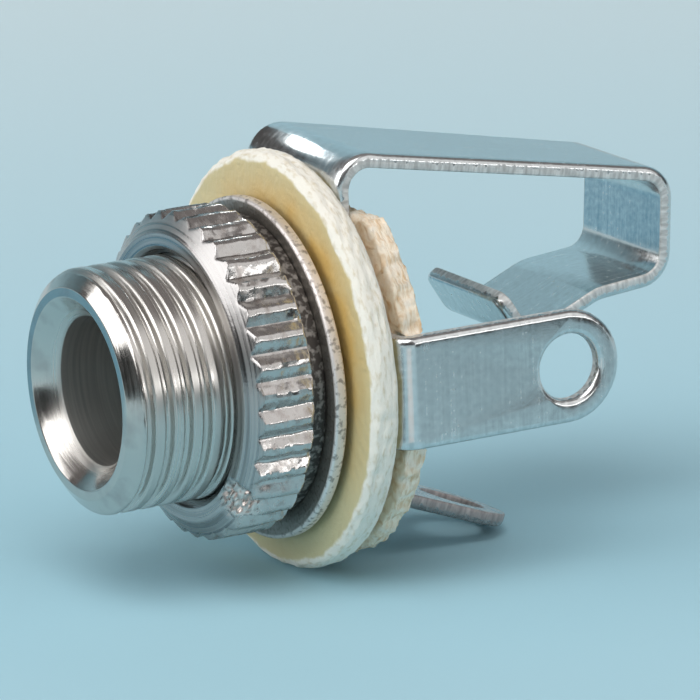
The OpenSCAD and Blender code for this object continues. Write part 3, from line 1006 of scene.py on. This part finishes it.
class JACK_OT_contacts(bpy.types.Operator):
    """Punches and folds the tip contact and the sleeve tag."""

    bl_idname = "jack.contacts"
    bl_label = "Contacts"

    def execute(self, context):
        size = in_mm(context.scene.jack.sheet)
        size.thickness = box_mm("rear_insulator")[0].y - box_mm("front_insulator")[1].y
        size.mid_r = size.bend_r + size.thickness / 2
        self.tip(size)
        self.sleeve(size)
        return {"FINISHED"}

    def tip_outline(self, size, spring_end, taper):
        """Outline of the tip contact's blank: plate, spring along the second axis, tag along the first."""
        half_tag = size.tag_w / 2
        half_root = size.root_w / 2
        half_end = size.end_w / 2
        tag_reach = size.tip_reach + size.mid_r * math.pi / 2 + size.tip_len - half_tag
        corner = size.lip_corner
        lip_middle = (half_end - corner, spring_end - corner)
        lip = arc_points(lip_middle, corner, 0, math.pi / 2, steps=5)
        right = [Vector((half_root, taper[0])), Vector((half_end, taper[1]))] + lip
        left = [Vector((-p.x, p.y)) for p in reversed(right)]
        to_tag = math.asin(half_tag / size.plate_r)
        to_spring = math.acos(half_root / size.plate_r)
        spacing = 0.2
        outline = spaced_arc(size.plate_r, to_tag, to_spring, spacing) + right + left
        outline += spaced_arc(size.plate_r, math.pi - to_spring, TURN - to_tag, spacing)
        return outline + tag_end(tag_reach, half_tag), tag_reach

    def tip(self, size):
        """The tip contact."""
        mid_y = box_mm("front_insulator")[1].y + size.thickness / 2
        quarter = math.pi / 2
        small = size.mid_r
        large = size.spring_bend_r + size.thickness / 2
        spring = [
            (0, quarter + size.droop, large),
            (size.top_len, quarter - size.droop + size.lean, large),
            (size.rear_len, quarter - size.lean - size.heel_dip, large),
            (size.heel_len, size.heel_dip - size.contact_dip, size.heel_bend_r + size.thickness / 2),
            (size.contact_len, size.contact_dip + size.lip_rise, size.nose_r + size.thickness / 2),
            (size.lip_len, 0, large),
        ]
        tag = [(0, quarter, small), (size.tip_len, 0, small)]
        lengths = [straight + abs(turn) * radius for straight, turn, radius in spring]
        spring_end = size.spring_reach + sum(lengths)
        top = size.spring_reach + large * spring[0][1]
        taper = (top + size.taper_inset, top + size.top_len - size.taper_inset)
        outline, eye_x = self.tip_outline(size, spring_end, taper)
        hole = hole_points((0, 0), size.plate_hole_r, steps=120)
        bm = self.punched(size, [outline, hole], eye_x, "tip_solder_eye")
        cut_rows(bm, Vector((0, 1, 0)), bend_rows(spring, size.spring_reach))
        cut_rows(bm, Vector((1, 0, 0)), bend_rows(tag, size.tip_reach))
        for vert in bm.verts:
            u, v, height = vert.co
            if v > size.spring_reach:
                start = (mid_y, size.spring_reach)
                spot = folded(spring, start, quarter, v - size.spring_reach, height)
                vert.co = Vector((u, spot.x, spot.y))
            elif u > size.tip_reach:
                spot = folded(tag, (size.tip_reach, -mid_y), 0, u - size.tip_reach, height)
                vert.co = Vector((spot.x, -spot.y, v))
            else:
                vert.co = Vector((u, mid_y - height, v))
        tin = tinned_sheet("Rolled tin plate", size.tin, size.cut, (0.16, 0.28))
        self.stamping("folded_tip_contact", bm, tin, "tip_contact", "tinned_spring")

    def sleeve(self, size):
        """The sleeve tag."""
        mid_y = box_mm("rear_insulator")[1].y + size.thickness / 2
        folds = [(0, size.sleeve_turn, size.mid_r), (size.sleeve_len, 0, size.mid_r)]
        half_tag = size.tag_w / 2
        eye_x = size.sleeve_reach + size.mid_r * size.sleeve_turn + size.sleeve_len - half_tag
        to_tag = math.asin(half_tag / size.ring_r)
        spacing = 0.15
        outline = spaced_arc(size.ring_r, to_tag, TURN - to_tag, spacing) + tag_end(eye_x, half_tag)
        hole = hole_points((0, 0), size.ring_hole_r, steps=96)
        bm = self.punched(size, [outline, hole], eye_x, "sleeve_solder_eye")
        cut_rows(bm, Vector((1, 0, 0)), bend_rows(folds, size.sleeve_reach))
        for vert in bm.verts:
            u, v, height = vert.co
            spot = Vector((u, height - mid_y))
            if u > size.sleeve_reach:
                spot = folded(folds, (size.sleeve_reach, -mid_y), 0, u - size.sleeve_reach, height)
            vert.co = Vector((v, -spot.y, -spot.x))
        tin = tinned_sheet("Rolled tin plate, warm", size.pink_tin, size.pink_tin, (0.2, 0.34))
        self.stamping("folded_sleeve_tag", bm, tin, "sleeve_tag", "tag_plate")

    def punched(self, size, loops, eye_x, eye):
        """A blank of the sheet with these loops and a solder eye."""
        eye_loop = hole_points((eye_x, 0), MOUNT_RADII[eye], steps=40)
        return sheet_blank(loops + [eye_loop], size.thickness, size.edge_round, size.burr_round)

    def stamping(self, name, bm, material, node, slot):
        """Finishes a folded sheet as the piece for a CAD node."""
        bmesh.ops.recalc_face_normals(bm, faces=bm.faces)
        piece = make_piece(name, bm, material)
        even_shading(piece)
        hand_over(piece, "jack", node)


class JACK_OT_stage(bpy.types.Operator):
    """Sets up the floor, the backdrop, the lamps, the cards and the camera."""

    bl_idname = "jack.stage"
    bl_label = "Stage"

    def execute(self, context):
        settings = context.scene.jack.stage
        self.floor(settings)
        self.world(context.scene)
        self.lamps()
        self.cards()
        self.camera(context.scene, settings)
        context.scene.view_settings.view_transform = "Standard"
        return {"FINISHED"}

    def lamps(self):
        """Soft lamps round the jack, and a tiny one that glints on the spring's first bend."""
        self.softbox("Key softbox", (-0.14, -0.895, 0.423), 0.5, (0.67, 0.32), 2.5)
        self.softbox("Side strip", (0.862, 0.473, 0.17), 0.6, (0.4, 0.06), 4.5)
        self.softbox("Fill softbox", (0.64, 0.47, 0.6), 0.6, (0.5, 0.45), 0.8)
        self.softbox("Top softbox", (0.35, -0.35, 0.87), 0.6, (0.5, 0.42), 3.3)
        bend = Vector((-0.1, 1.16, 5.13)) * MM
        self.softbox("Bend glint", (-0.845, 0, 0.535), 2.5 * MM, (1.2 * MM, 0.6 * MM), 8, bend)

    def cards(self):
        """Cards round the jack and on the floor, which the metal mirrors."""
        floor_z = CAD_BOX[0].z / MM
        black = new_card("Black card", "#141515")
        dark = new_card("Dark card", "#55504f")
        self.card("front flag", black, [(-14, -28, -2), (14, -28, -2), (14, -28, 8.5), (-14, -28, 10.5)])
        self.card("bend card", dark, [(-5, -1.5, 5.2), (-5, 2.2, 5.2), (-5, 2.2, 7.6), (-5, -1.5, 7.6)])
        self.card("side flag", black, [(43, 8, floor_z), (27, 30, floor_z), (27, 30, 2.5), (43, 8, 2.5)])
        lifted = floor_z + 0.1
        laid = {
            "white floor card": ("#f4f4f2", [(18, -0.5), (16, -6), (30, -12), (32, -4)]),
            "grey floor card": ("#9bbac4", [(13, 4), (35, 6), (32, 27), (13, 20)]),
            "blue floor card": ("#74a9c0", [(-14, 0), (-50, -4), (-50, -34), (-16, -24)]),
            "dark floor card": ("#2b3236", [(12, -11), (16, -9), (21, -17), (14, -20)]),
        }
        for name, (shade, corners) in laid.items():
            self.card(name, new_card(name.capitalize(), shade), [(x, y, lifted) for x, y in corners])

    def floor(self, settings):
        """A floor that curves up into a backdrop behind the jack, as the camera sees it."""
        away = Vector((-math.sin(settings.view_azimuth), math.cos(settings.view_azimuth), 0))
        aside = Vector((-away.y, away.x, 0))
        gap = 0.02 * MM
        floor_z = CAD_BOX[0].z - gap
        front, reach, bend, top = -1.2, 0.45, 0.15, 0.6
        half_width, steps = 1.2, 16
        curve = [math.pi / 2 * k / steps for k in range(steps + 1)]
        profile = [Vector((front, 0))]
        profile += [Vector((reach + bend * math.sin(a), bend - bend * math.cos(a))) for a in curve]
        profile.append(Vector((reach + bend, top)))
        bm = bmesh.new()
        rows = []
        for p in profile:
            middle = away * p.x + Vector((0, 0, floor_z + p.y))
            rows.append([bm.verts.new(middle + aside * side) for side in (-half_width, half_width)])
        for here, there in zip(rows, rows[1:]):
            bm.faces.new((here[0], here[1], there[1], there[0]))
        mesh = bpy.data.meshes.new("floor")
        bm.to_mesh(mesh)
        bm.free()
        mesh.shade_smooth()
        mesh.materials.append(self.paper(settings))
        backdrop = bpy.data.objects.new("floor", mesh)
        bpy.context.scene.collection.objects.link(backdrop)

    def paper(self, settings):
        """Matt background paper, deeper in colour round the jack and paler behind it."""
        material, tree, shader = new_material("Matt background paper")
        place = add(tree, "ShaderNodeTexCoord").outputs["Object"]
        across = add(tree, "ShaderNodeVectorMath", {0: place}, operation="LENGTH").outputs["Value"]
        around = blend(tree, ramp(tree, across, 0.01, 0.1), settings.floor, settings.around)
        raised = blend(tree, ramp(tree, across, 0.15, 0.45), around, settings.backdrop)
        feed(tree, shader, {"Base Color": raised, "Roughness": 0.7, "Specular IOR Level": 0.2})
        return material

    def world(self, scene):
        """A dim room, darkest at the horizon."""
        world = bpy.data.worlds.new("Studio")
        world.use_nodes = True
        tree = world.node_tree
        place = add(tree, "ShaderNodeTexCoord").outputs["Generated"]
        height = add(tree, "ShaderNodeSeparateXYZ", {0: place}).outputs[2]
        shade = blend(tree, ramp(tree, height, 0.03, 0.85), linear("#33373a"), linear("#878281"))
        feed(tree, tree.nodes["Background"], {"Color": shade})
        scene.world = world

    def softbox(self, name, direction, distance, size, radiance, spot=None):
        """A soft rectangular lamp that faces the jack, with its distance and size in metres.

        One that faces a spot on the jack only shows as a glint there."""
        lamp = bpy.data.lights.new(name, "AREA")
        lamp.shape = "RECTANGLE"
        lamp.size, lamp.size_y = size
        lamp.energy = radiance * math.pi * size[0] * size[1]
        lit = bpy.data.objects.new(name, lamp)
        lit.location = Vector(direction).normalized() * distance
        if spot:
            lit.location += spot
            lit.visible_diffuse = False
        lit.visible_camera = False
        lit.rotation_euler = Vector(direction).to_track_quat("Z", "Y").to_euler()
        bpy.context.scene.collection.objects.link(lit)

    def card(self, name, material, corners):
        """A card with corners in millimetres that only shows as a patch in the metal's reflections."""
        mesh = bpy.data.meshes.new(name)
        mesh.from_pydata([Vector(corner) * MM for corner in corners], [], [range(len(corners))])
        mesh.materials.append(material)
        card = bpy.data.objects.new(name, mesh)
        card.visible_camera = False
        card.visible_diffuse = False
        card.visible_shadow = False
        bpy.context.scene.collection.objects.link(card)

    def camera(self, scene, settings):
        """The camera at the photograph's angle."""
        lens = bpy.data.cameras.new("Camera")
        lens.angle = settings.view_field
        lens.clip_start = 0.01
        lens.clip_end = 10
        azimuth, elevation = settings.view_azimuth, settings.view_elevation
        flat = Vector((math.sin(azimuth), -math.cos(azimuth), 0))
        back = flat * math.cos(elevation) + Vector((0, 0, math.sin(elevation)))
        aim = Vector((0.1, 2.18, -0.06)) * MM
        turned = back.to_track_quat("Z", "Y").to_matrix() @ Matrix.Rotation(-settings.view_roll, 3, "Z")
        camera = bpy.data.objects.new("Camera", lens)
        camera.matrix_world = Matrix.Translation(aim + back * settings.view_distance) @ turned.to_4x4()
        scene.collection.objects.link(camera)
        scene.camera = camera


class JACK_PT_panel(bpy.types.Panel):
    """Lists the settings and the steps that build the jack."""

    bl_label = "Panel audio jack"
    bl_space_type = "VIEW_3D"
    bl_region_type = "UI"
    bl_category = "Jack"

    def draw(self, context):
        for name, operator in PARTS.items():
            column = self.layout.column(align=True)
            column.operator(operator.bl_idname)
            settings = getattr(context.scene.jack, name)
            for key in settings.__annotations__:
                column.prop(settings, key)


PARTS = {
    "bush": JACK_OT_bush,
    "nut": JACK_OT_nut,
    "disc": JACK_OT_insulators,
    "sheet": JACK_OT_contacts,
    "stage": JACK_OT_stage,
}
GROUPS = (BushSettings, NutSettings, DiscSettings, SheetSettings, StageSettings, JackSettings)
CLASSES = (*GROUPS, *PARTS.values(), JACK_PT_panel)


def register():
    """Registers the classes and the settings."""
    for cls in CLASSES:
        bpy.utils.register_class(cls)
    bpy.types.Scene.jack = bpy.props.PointerProperty(type=JackSettings)


def unregister():
    """Takes the settings and the classes out again."""
    del bpy.types.Scene.jack
    for cls in reversed(CLASSES):
        bpy.utils.unregister_class(cls)


def main():
    """Builds the jack and its stage."""
    register()
    bpy.ops.jack.bush()
    bpy.ops.jack.nut()
    bpy.ops.jack.insulators()
    bpy.ops.jack.contacts()
    bpy.ops.jack.stage()


if __name__ == "__main__":
    main()
